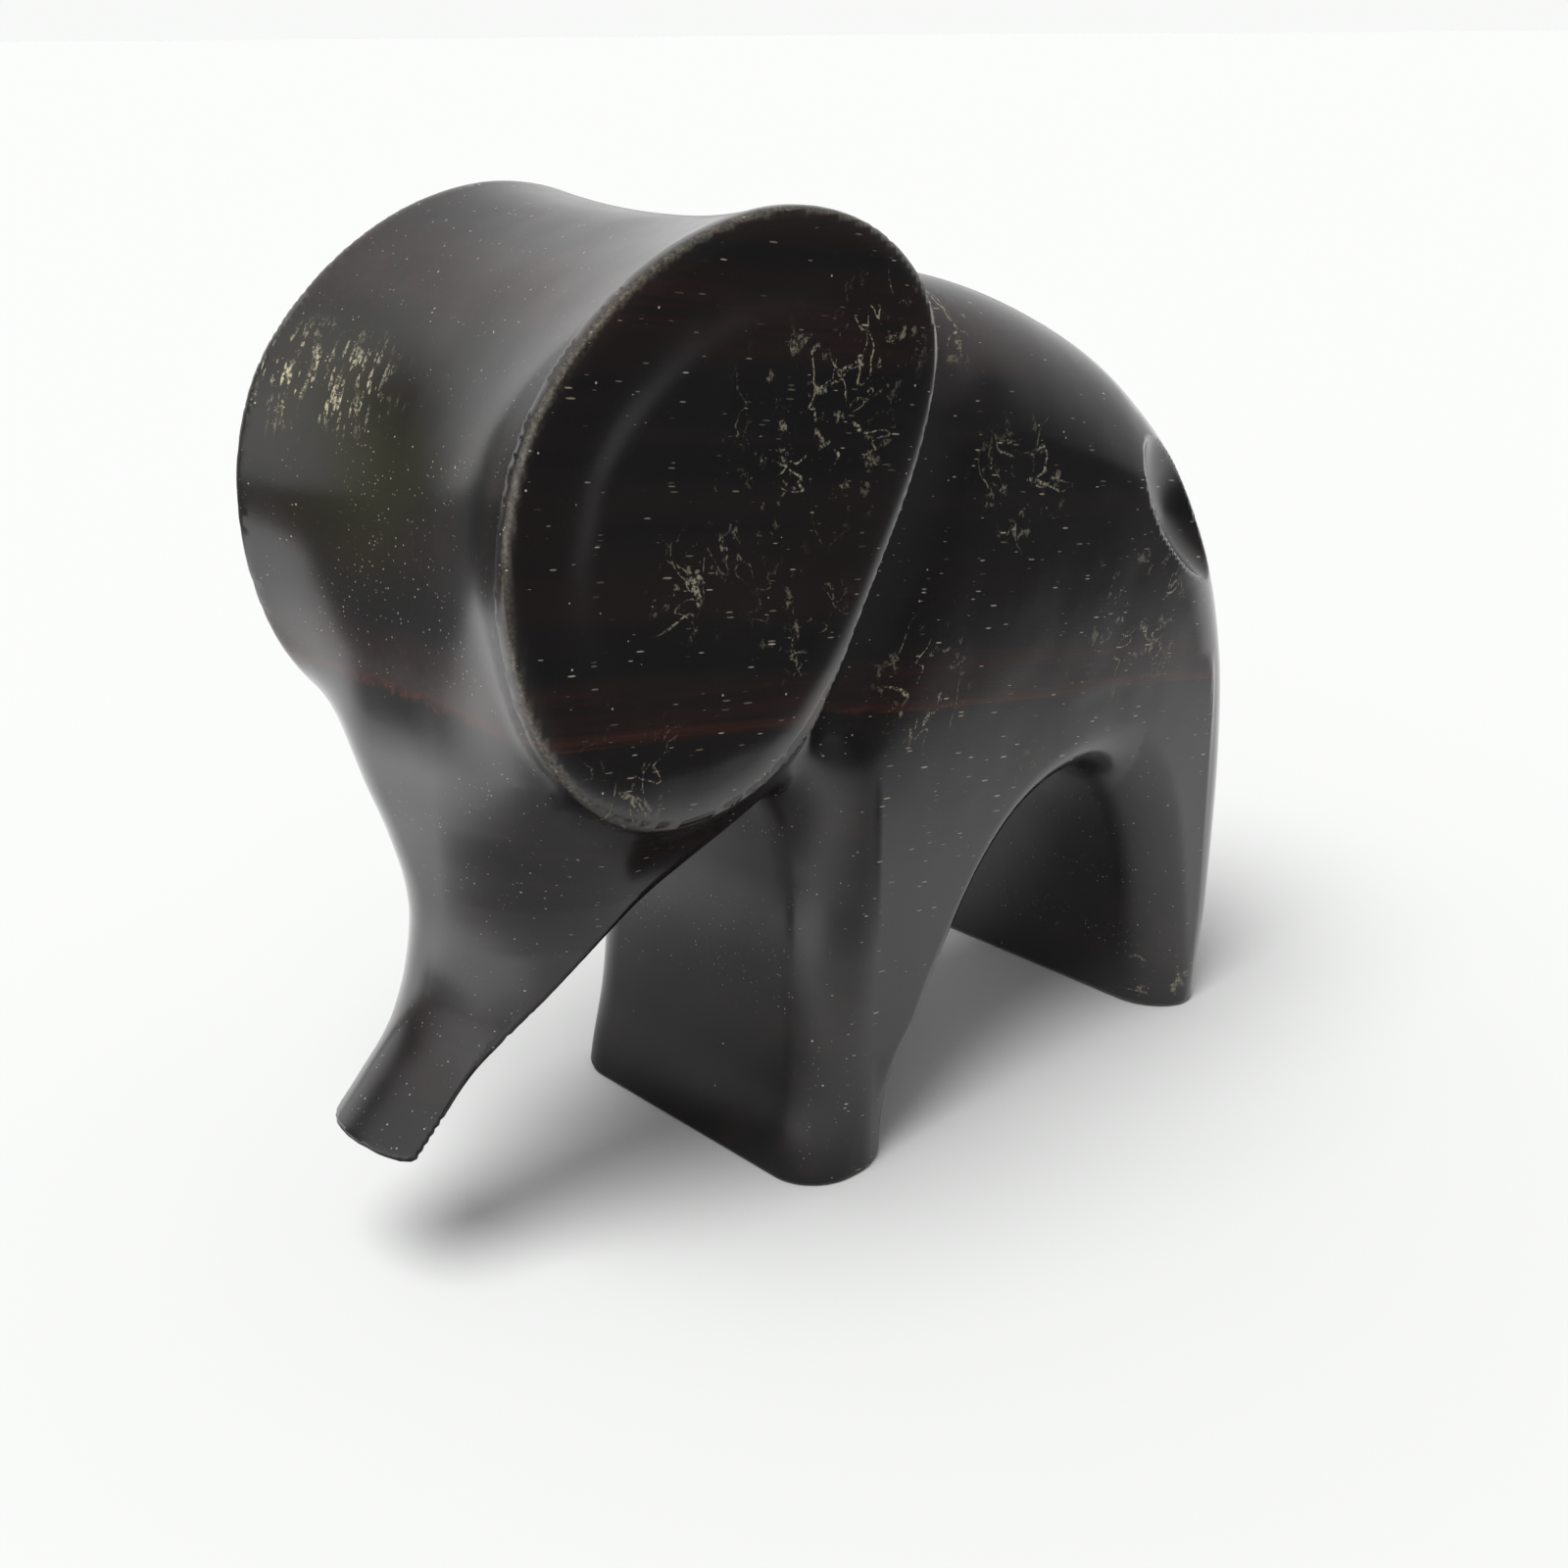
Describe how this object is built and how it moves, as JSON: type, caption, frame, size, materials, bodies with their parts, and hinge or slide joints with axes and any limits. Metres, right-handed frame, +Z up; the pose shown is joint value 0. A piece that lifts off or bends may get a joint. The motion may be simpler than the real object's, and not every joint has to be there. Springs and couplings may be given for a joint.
{
  "type": "elephant figurine",
  "caption": "Standing elephant carved from a single block of dark polished hardwood, with flat oval ears, a tapered trunk, paired legs under an arched belly and a hollow on each haunch.",
  "frame": {"origin": "on the ground, under the middle of the bounding box", "axes": "+Z up, -Y where the head points, +X the elephant's left side; the plane X = 0 is its plane of symmetry"},
  "size_m": [0.0548, 0.1406, 0.1216],
  "materials": {
    "ebony": "satin polish, oiled"
  },
  "bodies": {
    "root": {"carved_elephant": "ebony"}
  },
  "joints": []
}
